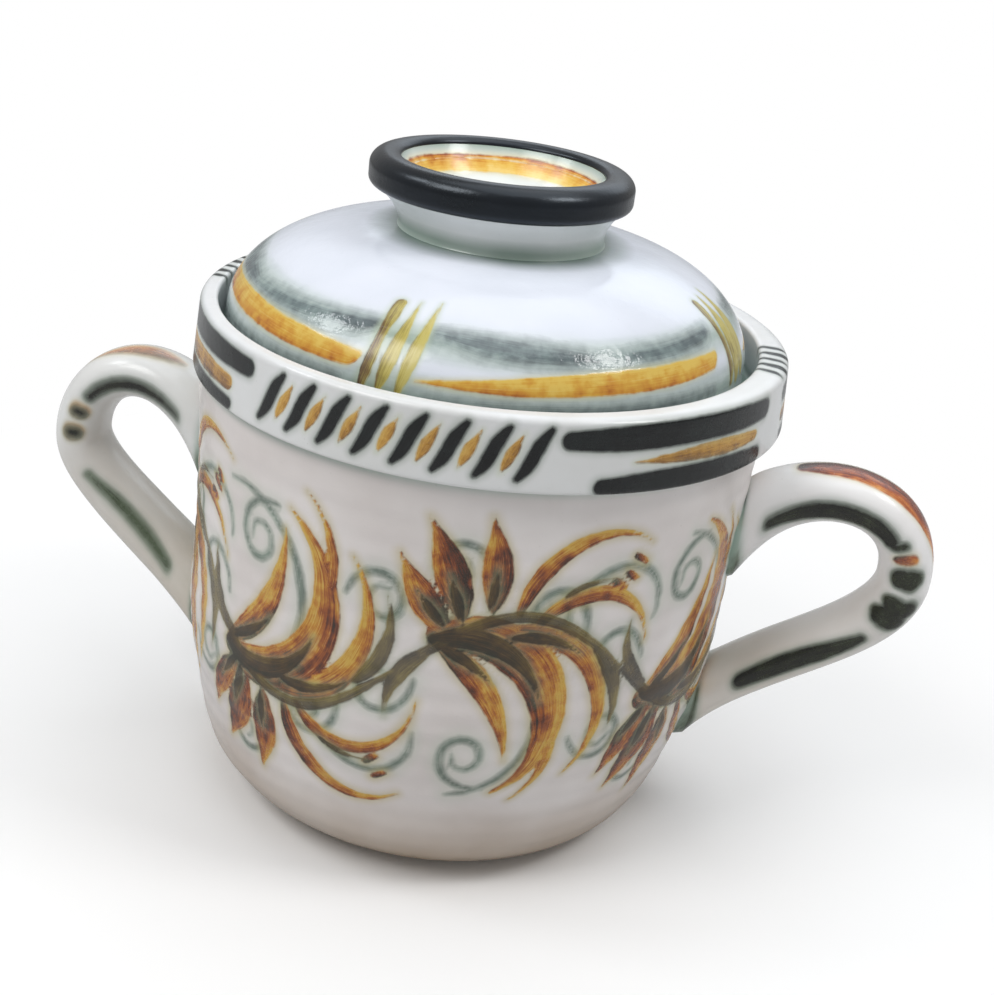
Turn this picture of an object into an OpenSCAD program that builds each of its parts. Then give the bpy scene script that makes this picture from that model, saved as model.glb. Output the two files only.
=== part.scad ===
// Covered salt pot of glazed earthenware: a thrown jar with a collar that holds the lid,
// two pulled handles, and a domed lid whose knob is a small flared cup with a rolled lip.
// Lengths are in millimetres. The pot stands on z = 0, and its handles lie along X.

/* [Jar] */
// Height of the jar, from the table to the top of its rim
jar_h = 117; // [108:1:130]
// Outside diameter of the belly
belly_d = 124.4; // [118:0.2:126]
// Height at which the round of the base ends and the upright wall begins
belly_z = 55; // [45:1:70]
// Outside diameter of the ring that the jar stands on
foot_d = 80; // [70:1:88]
// Width of that ring
foot_w = 5; // [4:0.5:8]
// Depth of the hollow turned under the base
foot_recess = 1.5; // [1:0.25:2.5]
// Thickness of the jar's wall
wall_t = 5.5; // [4:0.25:7]
// Height of the floor inside the jar above the table
floor_z = 7; // [5.5:0.5:10]

/* [Collar] */
// Diameter of the mouth, inside the rim
mouth_d = 122.4; // [118:0.2:126]
// Thickness of the rim
rim_t = 3.8; // [3.2:0.1:5]
// Height of the collar
collar_h = 15; // [13:0.5:20]
// How much wider the collar's lower edge is than its rim, on the radius
collar_taper = 1; // [0.5:0.1:2]
// How far the collar's lower edge stands out from the wall below it
collar_step = 2.7; // [1.8:0.1:4]
// Depth of the lid's ledge below the rim
ledge_depth = 9; // [6:0.5:10]
// Width of the ledge
ledge_w = 6.7; // [6:0.1:8]

/* [Handles] */
// Reach of a handle, from the pot's axis to the outside of its bend
handle_reach = 104; // [98:1:112]
// Thickness of a handle at its bend
handle_t = 12; // [10:0.5:14]
// Thickness of the lower leg where it nears the wall
handle_leg_t = 13.8; // [12.4:0.2:17]
// Width of a handle
handle_w = 17; // [14:0.5:20]
// Depth of the upper root's middle below the collar
root_drop = 24; // [20:0.5:28]
// Height of the upper root on the wall
root_h = 24; // [20:1:28]
// Height of the lower root's middle above the table
heel_z = 31.5; // [28:0.5:38]
// Height of the lower root on the wall
heel_h = 21; // [18:1:24]
// Width of both roots on the wall
root_w = 23; // [20:0.5:28]

/* [Lid] */
// Gap all round between the lid and the rim
lid_gap = 3; // [2:0.1:4]
// Height of the lid, from its seat to the top of its dome
lid_h = 26.7; // [22:0.1:34]
// Height of the lid's upright edge
brim_h = 6.5; // [4:0.1:9]
// Thickness of the lid
lid_t = 4.8; // [4:0.1:6]

/* [Knob] */
// Diameter of the knob over its black lip
knob_d = 57.4; // [50:0.2:64]
// Diameter of the knob's opening
opening_d = 44; // [38:0.2:47]
// Diameter of the knob's foot on the lid
knob_foot_d = 45.6; // [40:0.2:48]
// Height of the cup's flare, from the lid to the lip
flare_h = 8.3; // [7:0.1:12]
// Height of the lip
lip_h = 7.2; // [6.6:0.1:10]
// Thickness of the cup's floor over the lid
cup_floor_t = 2.5; // [2:0.1:4]
// Thickness of the cup's wall inside the lip
cup_wall_t = 2.3; // [1.8:0.1:2.6]

/* [Hidden] */

// Clearance under the lid, which lifts off
seat_gap = 0.3;
// Rounding of the edges
foot_round = 1;
rim_round = 1.5;
edge_round = 0.8;
ledge_round = 1.2;
brim_round = 1.2;
lip_top_round = 2.6;
lip_low_round = 1.6;
lip_bore_round = 1.1;
// Thickness of the lip's flange over the top of the cup's wall
flange_t = 1.4;

// Steps of the curves, and of the circles
curve_steps = 14;
round_steps = 5;
section_steps = 24;
leg_steps = 15;
$fn = 120;

// Control points of the base's round, from the foot to the belly: shares of the step in
// radius and of the step in height between the two
base_shares = [[0, 0], [0.69, 0.01], [0.973, 0.333], [1, 1]];
// Control points of the dome, from the brim to the knob's foot, as shares of the same kind
dome_shares = [[0, 0], [0.014, 0.475], [0.358, 0.965], [1, 1]];
// Control points of the cup's flare: shares of the step out from its foot, and of its height
flare_shares = [[0, 0], [-0.6, 0.32], [-0.2, 0.8], [1, 1]];
// Control points of the cup's inside, from the floor's middle to the opening
bowl_shares = [[0, 0], [0.75, 0], [0.8, 0.42], [1, 1]];
// Control points of a handle's two legs: shares of the way from the wall to the bend, and
// of the height between the two roots
upper_shares = [[0, 1], [0.466, 1.312], [1, 1.301], [1, 0.882]];
lower_shares = [[1, 0.882], [1, 0.624], [0.578, 0.409], [0, 0]];
// How fast the roots and the heel draw in to the handle
root_draw = 5;
heel_draw = 8;
// Roundness of the handle's section, where 2 is an ellipse
section_power = 2.3;
// Share of a leg over which its section turns from the wall's face to the leg's own line
turn_share = 0.45;
// Rings of the face that a root lays against the wall, as shares of its outline
seat_shares = [1, 0.72, 0.38];

// Places worked out from the sizes
mouth_r = mouth_d / 2;
rim_r = mouth_r + rim_t;
collar_r = rim_r + collar_taper;
shoulder_r = collar_r - collar_step;
belly_r = belly_d / 2;
foot_r = foot_d / 2;
collar_z = jar_h - collar_h;
ledge_z = jar_h - ledge_depth;
ledge_r = mouth_r - ledge_w;
throat_r = shoulder_r - wall_t;
lid_r = mouth_r - lid_gap;
seat_z = ledge_z + seat_gap;
brim_z = seat_z + brim_h;
dome_z = seat_z + lid_h;
knob_foot_r = knob_foot_d / 2;
knob_r = knob_d / 2;
opening_r = opening_d / 2;
lip_z = dome_z + flare_h;
knob_z = lip_z + lip_h;
socket_r = opening_r + cup_wall_t - lip_bore_round;

// A point of the cubic curve with control points p
function bezier(p, t) = pow(1 - t, 3) * p[0] + 3 * pow(1 - t, 2) * t * p[1]
    + 3 * (1 - t) * t * t * p[2] + pow(t, 3) * p[3];

// Its direction there
function bezier_way(p, t) = pow(1 - t, 2) * (p[1] - p[0]) + 2 * (1 - t) * t * (p[2] - p[1])
    + t * t * (p[3] - p[2]);

// Control points from shares of the way between two points
function between(shares, a, b) = [for (s = shares)
    [a[0] + (b[0] - a[0]) * s[0], a[1] + (b[1] - a[1]) * s[1]]];

// Points of a curve, and of the same curve moved to its left by a distance
function curve(p, steps) = [for (i = [0 : steps]) bezier(p, i / steps)];

function left_of(way) = [-way[1], way[0]] / norm(way);

function curve_beside(p, distance, steps) = [for (i = [0 : steps])
    bezier(p, i / steps) + left_of(bezier_way(p, i / steps)) * distance];

// Points of a round corner about a centre
function corner(centre, r, from, to) = [for (i = [0 : round_steps])
    let (a = from + (to - from) * i / round_steps) centre + r * [cos(a), sin(a)]];

// The jar's outside, from the foot up to the collar
base_curve = between(base_shares, [foot_r, foot_round], [belly_r, belly_z]);

wall_line = concat(curve(base_curve, curve_steps), [[shoulder_r, collar_z]]);

// Radius of the jar's outside at a height
function wall_r(z) = lookup(z, [for (p = wall_line) [p[1], p[0]]]);

module jar() {
    inside = [for (p = curve_beside(base_curve, wall_t, curve_steps)) if (p[1] > floor_z) p];
    color("#ebe9e6")
    rotate_extrude()
    polygon(concat(
        [[0, foot_recess], [foot_r - foot_w - foot_recess, foot_recess], [foot_r - foot_w, 0]],
        corner([foot_r - foot_round, foot_round], foot_round, -90, -30),
        wall_line,
        [[throat_r, collar_z]],
        [for (i = [len(inside) - 1 : -1 : 0]) inside[i]],
        [[inside[0][0] - foot_w, floor_z], [0, floor_z]]
    ));
}

module collar() {
    color("#f0efec")
    rotate_extrude()
    polygon(concat(
        [[throat_r, collar_z]],
        corner([collar_r - edge_round, collar_z + edge_round], edge_round, -90, 0),
        corner([rim_r - rim_round, jar_h - rim_round], rim_round, 0, 90),
        corner([mouth_r + edge_round, jar_h - edge_round], edge_round, 90, 180),
        corner([mouth_r - ledge_round, ledge_z + ledge_round], ledge_round, 0, -90),
        corner([ledge_r + edge_round, ledge_z - edge_round], edge_round, 90, 180)
    ));
}

// Half the outline of a handle's section at an angle, as shares of its thickness and width
function section(a) = let (c = cos(a), s = sin(a))
    [sign(c) * pow(abs(c), 2 / section_power), sign(s) * pow(abs(s), 2 / section_power)] / 2;

// A step from a point along a way until it meets the jar's wall
function to_wall(p, way, tries = 8) = tries == 0 ? p
    : to_wall(p + way * (wall_r(p[2]) - norm([p[0], p[1]])) / way[0], way, tries - 1);

module handle() {
    root_z = collar_z - root_drop;
    bend_r = handle_reach - handle_t / 2;
    upper = [for (s = upper_shares)
        [wall_r(root_z) + (bend_r - wall_r(root_z)) * s[0], heel_z + (root_z - heel_z) * s[1]]];
    lower = [for (s = lower_shares)
        [wall_r(heel_z) + (bend_r - wall_r(heel_z)) * s[0], heel_z + (root_z - heel_z) * s[1]]];

    // Each ring: where its middle is, the angle of its way, its thickness and its width
    root_rings = [for (i = [0 : leg_steps]) let (t = i / leg_steps, way = bezier_way(upper, t))
        [bezier(upper, t), atan2(way[1], way[0]) * min(1, t / turn_share),
         handle_t + (root_h - handle_t) * pow(1 - t, root_draw),
         handle_w + (root_w - handle_w) * pow(1 - t, root_draw)]];
    heel_rings = [for (i = [1 : leg_steps]) let (t = i / leg_steps, way = bezier_way(lower, t),
        own = atan2(way[1], way[0]))
        [bezier(lower, t), own + (-180 - own) * max(0, 1 - (1 - t) / turn_share),
         handle_t + (handle_leg_t - handle_t) * t + (heel_h - handle_leg_t) * pow(t, heel_draw),
         handle_w + (root_w - handle_w) * pow(t, root_draw)]];
    rings = concat(root_rings, heel_rings);
    last = len(rings) - 1;

    function ring_point(ring, a, share) = let (s = section(a) * share)
        [ring[0][0] - sin(ring[1]) * s[0] * ring[2], s[1] * ring[3],
         ring[0][1] + cos(ring[1]) * s[0] * ring[2]];
    function loop(ring, share) = [for (k = [0 : section_steps - 1])
        ring_point(ring, k * 360 / section_steps, share)];
    function seat(ring, share) = [for (p = loop(ring, share)) to_wall(p, [1, 0, 0])];

    // The seat on the wall from its middle outwards, the legs, and the other seat inwards
    loops = concat(
        [for (i = [len(seat_shares) - 1 : -1 : 0]) seat(rings[0], seat_shares[i])],
        [for (i = [1 : last - 1]) loop(rings[i], 1)],
        [for (s = seat_shares) seat(rings[last], s)]
    );
    count = len(loops);
    middles = [for (ring = [rings[0], rings[last]]) to_wall([ring[0][0], 0, ring[0][1]], [1, 0, 0])];
    points = concat([for (l = loops) each l], middles);
    faces = concat(
        [for (i = [0 : count - 2]) for (k = [0 : section_steps - 1])
            let (a = i * section_steps + k, b = i * section_steps + (k + 1) % section_steps)
            each [[a, b, b + section_steps], [a, b + section_steps, a + section_steps]]],
        [for (k = [0 : section_steps - 1]) [k, count * section_steps, (k + 1) % section_steps]],
        [for (k = [0 : section_steps - 1]) let (first = (count - 1) * section_steps)
            [first + k, first + (k + 1) % section_steps, count * section_steps + 1]]
    );
    color("#ebe9e6")
    polyhedron(points, faces);
}

module lid() {
    dome_curve = between(dome_shares, [lid_r, brim_z], [knob_foot_r, dome_z]);
    under = curve_beside(dome_curve, lid_t, curve_steps);
    color("#e9ecee")
    rotate_extrude()
    polygon(concat(
        [[lid_r - lid_t, seat_z]],
        corner([lid_r - brim_round, seat_z + brim_round], brim_round, -90, 0),
        curve(dome_curve, curve_steps),
        [[0, dome_z], [0, dome_z - lid_t]],
        [for (i = [curve_steps : -1 : 0]) under[i]]
    ));
}

module knob_cup() {
    flare_curve = between(flare_shares, [knob_foot_r, dome_z], [knob_r - lip_low_round, lip_z]);
    bowl_curve = between(bowl_shares, [0, dome_z + cup_floor_t], [opening_r, knob_z - flange_t]);
    color("#dfe6e2")
    rotate_extrude()
    polygon(concat(
        [[0, dome_z]],
        curve(flare_curve, curve_steps),
        [[socket_r, lip_z], [socket_r, knob_z - flange_t]],
        [for (i = [curve_steps : -1 : 0]) bezier(bowl_curve, i / curve_steps)]
    ));
}

module knob_lip() {
    flange_z = knob_z - flange_t;
    color("#1f2329")
    rotate_extrude()
    polygon(concat(
        [[socket_r, lip_z]],
        corner([knob_r - lip_low_round, lip_z + lip_low_round], lip_low_round, -90, 0),
        corner([knob_r - lip_top_round, knob_z - lip_top_round], lip_top_round, 0, 90),
        corner([opening_r + lip_bore_round, knob_z - lip_bore_round], lip_bore_round, 90, 180),
        [[opening_r, flange_z], [socket_r, flange_z]]
    ));
}

jar();
collar();
rotate(180) handle();  // handle_left
handle();  // handle_right
lid();
knob_cup();
knob_lip();
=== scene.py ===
# The looks of a covered salt pot of tin-glazed earthenware, painted by hand.
# The jar stands on z = 0 and its handles lie along X. Sizes below are in millimetres.
import math

import bpy
import numpy as np
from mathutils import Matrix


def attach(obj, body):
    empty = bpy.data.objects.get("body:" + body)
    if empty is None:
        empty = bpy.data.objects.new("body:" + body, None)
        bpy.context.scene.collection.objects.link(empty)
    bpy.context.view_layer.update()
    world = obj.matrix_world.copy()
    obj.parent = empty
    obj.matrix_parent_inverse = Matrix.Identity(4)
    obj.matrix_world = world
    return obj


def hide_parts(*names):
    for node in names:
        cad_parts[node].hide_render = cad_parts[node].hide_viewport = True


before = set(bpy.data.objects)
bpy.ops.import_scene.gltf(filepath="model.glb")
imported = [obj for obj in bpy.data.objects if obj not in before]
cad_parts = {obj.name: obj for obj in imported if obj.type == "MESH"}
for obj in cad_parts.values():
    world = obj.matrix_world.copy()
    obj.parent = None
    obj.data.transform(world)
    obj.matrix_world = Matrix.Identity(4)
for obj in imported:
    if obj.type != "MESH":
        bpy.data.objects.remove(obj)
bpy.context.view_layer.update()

# The jar is thrown on the wheel from pale earthenware, turned hollow under the foot and
# dipped in white tin glaze. A leafy vine is painted on the raw glaze with a soft brush, in
# ochre, rust, olive and grey-green, which bleed a little into the white in the kiln.
MM = 0.001
foot_r, foot_w, foot_recess, foot_round = 40.0, 5.0, 1.5, 1.0
belly_r, belly_z = 62.2, 55.0
shoulder_r, collar_z = 63.3, 102.0
wall_t, floor_z, floor_corner = 5.5, 7.0, 5.0
base_shares = [(0, 0), (0.69, 0.01), (0.973, 0.333), (1, 1)]


def curve(start, end, shares, steps=40):
    """Points of a cubic curve, its control points being shares of the way from start to end."""
    start, end = np.array(start, float), np.array(end, float)
    p = [start + (end - start) * np.array(s, float) for s in shares]
    t = np.linspace(0, 1, steps + 1)[:, None]
    return ((1 - t) ** 3 * p[0] + 3 * (1 - t) ** 2 * t * p[1] + 3 * (1 - t) * t * t * p[2]
            + t ** 3 * p[3])


def corner(r, z, radius, start, stop, steps=7):
    """Points of a rounded corner about the centre (r, z)."""
    a = np.radians(np.linspace(start, stop, steps + 1))
    across, up = radius if isinstance(radius, tuple) else (radius, radius)
    return np.stack([r + across * np.cos(a), z + up * np.sin(a)], 1)


def beside(line, distance):
    """The same line moved to its left."""
    way = np.gradient(line, axis=0)
    way /= np.linalg.norm(way, axis=1)[:, None]
    return line + np.stack([-way[:, 1], way[:, 0]], 1) * distance


def turned(name, profile, around, coarse=3.0, fine=0.8, fine_from=None, wander=None):
    """A mesh turned about the pot's axis, with where each of its points lies: its angle from
    the pot's front, its way along the profile, its radius and its height."""
    profile = np.array(profile, float)
    closed = profile[0, 0] > 1e-6
    ends = np.vstack([profile, profile[:1]]) if closed else profile
    rows = [ends[0]]
    for a, b in zip(ends[:-1], ends[1:]):
        near = fine_from is None or fine_from(*((a + b) / 2))
        steps = max(1, math.ceil(np.linalg.norm(b - a) / (fine if near else coarse)))
        rows += [a + (b - a) * k / steps for k in range(1, steps + 1)]
    rows = np.array(rows[:-1] if closed else rows)
    way = np.concatenate([[0], np.cumsum(np.linalg.norm(np.diff(rows, axis=0), axis=1))])
    turns = np.arange(around) * 360.0 / around
    points, first, spread = [], [], []
    for k, (r, z) in enumerate(rows):
        first.append(len(points))
        for turn in turns if r > 1e-6 else [0.0]:
            points.append((r * math.sin(math.radians(turn)), -r * math.cos(math.radians(turn)), z))
            spread.append((turn, way[k], r, z))
    faces = []
    pairs = list(zip(range(len(rows)), range(1, len(rows))))
    for low, high in pairs + ([(len(rows) - 1, 0)] if closed else []):
        a, b = first[low], first[high]
        flat = rows[low, 0] > 1e-6, rows[high, 0] > 1e-6
        for j in range(around):
            n = (j + 1) % around
            if all(flat):
                faces.append((a + j, a + n, b + n, b + j))
            elif flat[0]:
                faces.append((a + j, a + n, b))
            elif flat[1]:
                faces.append((a, b + n, b + j))
    spread = np.array(spread)
    points = np.array(points)
    if wander is not None:
        points[:, :2] *= (1 + wander(spread) / np.maximum(spread[:, 2], 1.0))[:, None]
    return shaped(name, points, faces), spread


def shaped(name, points, faces):
    """A smooth mesh object from points in millimetres."""
    mesh = bpy.data.meshes.new(name)
    mesh.from_pydata((np.asarray(points) * MM).tolist(), [], faces)
    mesh.polygons.foreach_set("use_smooth", [True] * len(mesh.polygons))
    mesh.set_sharp_from_angle(angle=math.radians(50))
    made = bpy.data.objects.new(name, mesh)
    bpy.context.scene.collection.objects.link(made)
    return made


# Shapes of a brush stroke: its width along its length, as shares of its full width
DASH = [0.72, 0.94, 1, 1, 0.98, 0.95, 0.8]
COMMA = [0.45, 0.86, 1, 0.92, 0.74, 0.5, 0.26, 0.05]
LEAF = [0.08, 0.55, 0.88, 1, 0.9, 0.62, 0.3, 0.05]
LINE = [0.5, 0.9, 1, 0.9, 1, 0.85, 0.7, 0.3]


def through(points, steps=30):
    """A smooth line through points."""
    p = np.array(points, float)
    if len(p) == 2:
        p = np.array([p[0], (p[0] + p[1]) / 2, p[1]])
    q = np.vstack([2 * p[0] - p[1], p, 2 * p[-1] - p[-2]])
    out = []
    for t in np.linspace(0, len(p) - 1.000001, steps):
        i, f = int(t), t - int(t)
        a, b, c, d = q[i:i + 4]
        out.append(0.5 * (2 * b + (c - a) * f + (2 * a - 5 * b + 4 * c - d) * f * f
                          + (3 * b - a - 3 * c + d) * f ** 3))
    return np.array(out)


def sweep(x, y, heading, length, bend, tighten=0.0, count=12):
    """A brush's path from (x, y): its heading in degrees turns by bend for each millimetre at
    the start, and by bend + tighten at the end."""
    step = length / count
    path = [(x, y)]
    for k in range(count):
        heading += (bend + tighten * (k + 0.5) / count) * step
        x += math.cos(math.radians(heading)) * step
        y += math.sin(math.radians(heading)) * step
        path.append((x, y))
    return path


def mark(obj, layer, values):
    """Keeps a value on each point of a mesh, for its material to read."""
    obj.data.attributes.new(layer, "FLOAT", "POINT").data.foreach_set("value", values)


def painted(obj, layer, turn, height, radius, strokes, reach=7.0):
    """Keeps on each point of a mesh how far outside the nearest stroke's edge it lies, and
    its place in that stroke: the way along it, the share across it, and the stroke's tone."""
    order = np.argsort(height)
    edge = np.full(len(turn), reach)
    place = np.zeros((len(turn), 3))
    for points, half, shape, tone in strokes:
        line = through(points)
        start = line[0, 0]
        near = np.radians(np.interp(line[:, 1], height[order], radius[order]))
        track = np.stack([(line[:, 0] - start) * near, line[:, 1]], 1)
        away = (turn - start + 180) % 360 - 180
        spot = np.stack([away * np.radians(radius), height], 1)
        low, high = track.min(0) - half - reach, track.max(0) + half + reach
        inside = np.flatnonzero(((spot > low) & (spot < high)).all(1))
        spot = spot[inside]
        lengths = np.linalg.norm(np.diff(track, axis=0), axis=1)
        total = lengths.sum()
        gone = np.concatenate([[0], np.cumsum(lengths)])
        best = np.full(len(spot), 1e9)
        at = np.zeros((len(spot), 3))
        for k in range(len(lengths)):
            step = track[k + 1] - track[k]
            rel = spot - track[k]
            share = np.clip(rel @ step / max(step @ step, 1e-9), 0, 1)
            off = rel - share[:, None] * step
            side = np.sign(step[0] * rel[:, 1] - step[1] * rel[:, 0])
            along = (gone[k] + share * lengths[k]) / total
            wide = half * np.interp(along, np.linspace(0, 1, len(shape)), shape)
            far = np.linalg.norm(off, axis=1)
            closer = far - wide < best
            best[closer] = (far - wide)[closer]
            at[closer] = np.stack([along, side * far / np.maximum(wide, 0.3), 0 * far], 1)[closer]
        at[:, 2] = tone
        nearer = best < edge[inside]
        edge[inside[nearer]] = best[nearer]
        place[inside[nearer]] = at[nearer]
    mark(obj, layer, edge)
    obj.data.attributes.new(layer + "_place", "FLOAT_VECTOR", "POINT").data.foreach_set(
        "vector", place.ravel())


class Shade:
    """A socket of a material's nodes that can be used in sums."""

    def __init__(self, tree, socket=None):
        self.tree = tree
        self.socket = socket

    def node(self, kind, settings=None, sockets=None, output=0):
        made = self.tree.nodes.new(kind)
        for name, value in (settings or {}).items():
            setattr(made, name, value)
        for name, value in (sockets or {}).items():
            if isinstance(value, Shade):
                self.tree.links.new(value.socket, made.inputs[name])
            else:
                made.inputs[name].default_value = value
        return Shade(self.tree, made.outputs[output])

    def sum(self, operation, *values, clamp=False):
        return self.node("ShaderNodeMath", {"operation": operation, "use_clamp": clamp},
                         dict(enumerate(values)))

    def __add__(self, other):
        return self.sum("ADD", self, other)

    def __radd__(self, other):
        return self.sum("ADD", other, self)

    def __sub__(self, other):
        return self.sum("SUBTRACT", self, other)

    def __rsub__(self, other):
        return self.sum("SUBTRACT", other, self)

    def __mul__(self, other):
        return self.sum("MULTIPLY", self, other)

    def __rmul__(self, other):
        return self.sum("MULTIPLY", other, self)

    def __truediv__(self, other):
        return self.sum("DIVIDE", self, other)

    def held(self):
        """The value kept between 0 and 1."""
        return self.sum("ADD", self, 0.0, clamp=True)

    def colours(self, first, second):
        """A colour between two, by this share."""
        return self.node("ShaderNodeMix", {"data_type": "RGBA"}, {0: self, 6: first, 7: second}, 2)

    def noise(self, where, scale, detail=2.0, rough=0.5):
        return self.node("ShaderNodeTexNoise", {},
                         {"Vector": where, "Scale": scale, "Detail": detail, "Roughness": rough},
                         "Fac")

    def kept(self, layer, output="Fac"):
        return self.node("ShaderNodeAttribute", {"attribute_name": layer}, {}, output)

    def parts(self):
        split = self.node("ShaderNodeSeparateXYZ", {}, {0: self}).socket.node
        return [Shade(self.tree, socket) for socket in split.outputs]

    def ramp(self, stops):
        """A colour from even stops of web codes, by this value."""
        made = self.node("ShaderNodeValToRGB", {}, {0: self})
        bar = made.socket.node.color_ramp
        while len(bar.elements) < len(stops):
            bar.elements.new(0.5)
        for k, code in enumerate(stops):
            bar.elements[k].position = k / (len(stops) - 1)
            bar.elements[k].color = tint(code)
        return made


def tint(code):
    """A colour from its web code, as the light values that the nodes take."""
    part = [int(code[k:k + 2], 16) / 255 for k in (1, 3, 5)]
    return [((c + 0.055) / 1.055) ** 2.4 if c > 0.04045 else c / 12.92 for c in part] + [1.0]


def brushed(flat, where, under, layer):
    """One layer of brush paint over a colour. The brush carries more paint on one side and
    at its start, its hairs leave streaks, and the colour bleeds a little into the glaze."""
    edge = flat.kept(layer["name"])
    along, across, tone = flat.kept(layer["name"] + "_place", "Vector").parts()
    trail = flat.node("ShaderNodeCombineXYZ", {}, {0: along * 1.6, 1: across * 2.0, 2: tone * 9.0})
    hairs = flat.noise(trail, layer.get("hairs", 3.4), 4.0, 0.7)
    blots = flat.noise(where, 420.0, 2.0)
    drift = flat.noise(where, 130.0, 2.0)
    hue, reach, strength = layer.get("bleed", ("#bcc7a2", 2.6, 0.5))
    soak = (1.0 - edge / reach * (0.6 + drift * 0.9)).held()
    under = (soak * soak * strength).colours(under, tint(hue))
    rim = edge + (hairs + blots - 1.0) * layer.get("ragged", 0.6)
    mask = (0.5 - rim / layer.get("soft", 0.4)).held()
    load = (layer.get("base", 0.56) + across * layer.get("side", 0.16)
            + (hairs - 0.5) * layer.get("streaks", 1.5) + (blots - 0.5) * layer.get("mottle", 0.5)
            + (drift - 0.5) * 0.9 + (along - 0.4) * layer.get("run", 0.3) - (tone - 0.4) * 0.55)
    worn = (1.0 - ((hairs - 0.60) * 5.0).held() * layer.get("dry", 0.3)) * layer.get("cover", 0.96)
    return (mask * worn).colours(under, load.held().ramp(layer["stops"])), mask


def glaze(name, whites, layers, rough=0.16, pool_shade_hue="#8fa79c", low=None, lustre=None):
    """Tin glaze over pale clay: clouded white that gathers green in the corners, where the green is
    also darkened as painted shade, then the paint layer by layer, with the soft waves and
    pinholes of a dipped and fired coat. Where low is given, a warmer, darker tint towards the
    bottom is painted shade."""
    material = bpy.data.materials.new(name)
    material.use_nodes = True
    tree = material.node_tree
    skin = tree.nodes["Principled BSDF"]
    flat = Shade(tree)
    where = flat.node("ShaderNodeTexCoord", {}, {}, "Object")
    cloud = flat.noise(where, 38.0, 3.0)
    colour = ((cloud - 0.5) * 3.0 + 0.5).held().colours(tint(whites[0]), tint(whites[1]))
    # Painted shade: below the height given in low, the white turns towards a darker warm colour, most at
    # the bottom
    if low is not None:
        height = where.parts()[2] * 1000.0
        colour = (1.0 - height / low[1] + (cloud - 0.5) * 0.3).held().colours(colour, tint(low[0]))
    # Glaze gathering greenish in corners and creases, darkened there as painted shade
    pool_shade_share = (flat.kept("pool_shade") * (0.55 + cloud * 0.9)).held()
    colour = pool_shade_share.colours(colour, tint(pool_shade_hue))
    waves = flat.noise(where, 95.0, 2.0)
    pits = flat.noise(where, 900.0, 2.0)
    ridges = waves * 0.8 + pits * 0.12
    shine = rough + cloud * 0.08 + pits * 0.06
    for layer in layers:
        colour, mask = brushed(flat, where, colour, layer)
        ridges = ridges + mask * layer.get("raised", 0.12)
        shine = shine + mask * layer.get("dull", 0.04)
        if lustre is not None and layer["name"] == lustre:
            ridges = ridges + mask * flat.noise(where, 620.0, 2.0) * 0.55
    specks = ((flat.noise(where, 1500.0, 1.0) - 0.75) * 9.0).held() * 0.2
    colour = specks.colours(colour, tint("#6e6a5f"))
    bump = flat.node("ShaderNodeBump", {}, {"Strength": 0.4, "Distance": 0.0006, "Height": ridges})
    tree.links.new(colour.socket, skin.inputs["Base Color"])
    tree.links.new(shine.socket, skin.inputs["Roughness"])
    tree.links.new(bump.socket, skin.inputs["Normal"])
    return material


wall_outside = np.vstack([
    curve((foot_r, foot_round), (belly_r, belly_z), base_shares), [(shoulder_r, collar_z)]])
inside = beside(curve((foot_r, foot_round), (belly_r, belly_z), base_shares), wall_t)
inside = inside[inside[:, 1] > floor_z]
jar_profile = np.vstack([
    [(0, foot_recess), (foot_r - foot_w - foot_recess, foot_recess), (foot_r - foot_w, 0)],
    corner(foot_r - foot_round, foot_round, foot_round, -90, -20, 4),
    wall_outside,
    [(shoulder_r - wall_t, collar_z)],
    inside[::-1],
    [(inside[0, 0] - floor_corner, floor_z), (0, floor_z)],
])


def wall_at(z):
    """The radius of the wall's outside at a height."""
    return np.interp(z, wall_outside[:, 1], wall_outside[:, 0])


# How far the wall leans to one side at each height, where it is fuller or slimmer than its
# curve, and how deep the fingers' broad and fine rings are
lean_z, lean_by = [0.9, 5, 11, 20, 31, 44, 60, 80], [0.4, 1.6, 2.4, 2.3, 1.6, 1.2, 0.5, 0]
fuller_z, fuller_h, fuller_by = 45, 13, 0.6
slimmer_z, slimmer_h, slimmer_by = 25, 10, 0.7
ring_depth, broad_ring_depth = 0.07, 0.05
ringed_z, ringed = [3, 14, 92, 101], [0, 1, 1, 0]
foot_top, wall_skin = 0.9, 1


def leaning(z, turn):
    """How far the wall stands out of round: it leans to one side, and is fuller midway."""
    lean = np.interp(z, lean_z, lean_by)
    fuller = fuller_by * np.exp(-((z - fuller_z) / fuller_h) ** 2)
    slimmer = slimmer_by * np.exp(-((z - slimmer_z) / slimmer_h) ** 2)
    return fuller - slimmer - lean * np.sin(np.radians(turn))


def on_outside(r, z):
    """Whether a point lies on the wall's outside, above the foot's edge."""
    return (r > wall_at(z) - wall_skin) & (z > foot_top)


def throwing_marks(spread):
    """The fingers' faint rings on the outside of the wall, and its lean."""
    turn, _, r, z = spread.T
    rings = ring_depth * np.sin(z * 1.15 + 0.35 * np.sin(np.radians(turn)))
    rings = rings + broad_ring_depth * np.sin(z * 0.53 + 1)
    return on_outside(r, z) * (rings * np.interp(z, ringed_z, ringed) + leaning(z, turn))


jar, lies = turned("jar_glazed", jar_profile, 410, fine=0.85,
                   fine_from=lambda r, z: r > wall_at(z) - wall_skin, wander=throwing_marks)
turn, way, radius, height = lies.T
out_of_reach = -40.0
paint_height = np.where(on_outside(radius, height), height, out_of_reach)

# The vine swings up and down round the belly, and passes between the roots of the handles.
# Each swing holds a big scrolled leaf, with lesser leaves, a fan of buds and grey-green curls.
swings, half_swing, swing_h = 8, 24.5, 15.0
vine_z, vine_r, grow, radian = 59.0, 62.5, 1.14, 57.3
stem_x = (-24.8, -16, -8, 0, 8, 16, 24.8)
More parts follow.
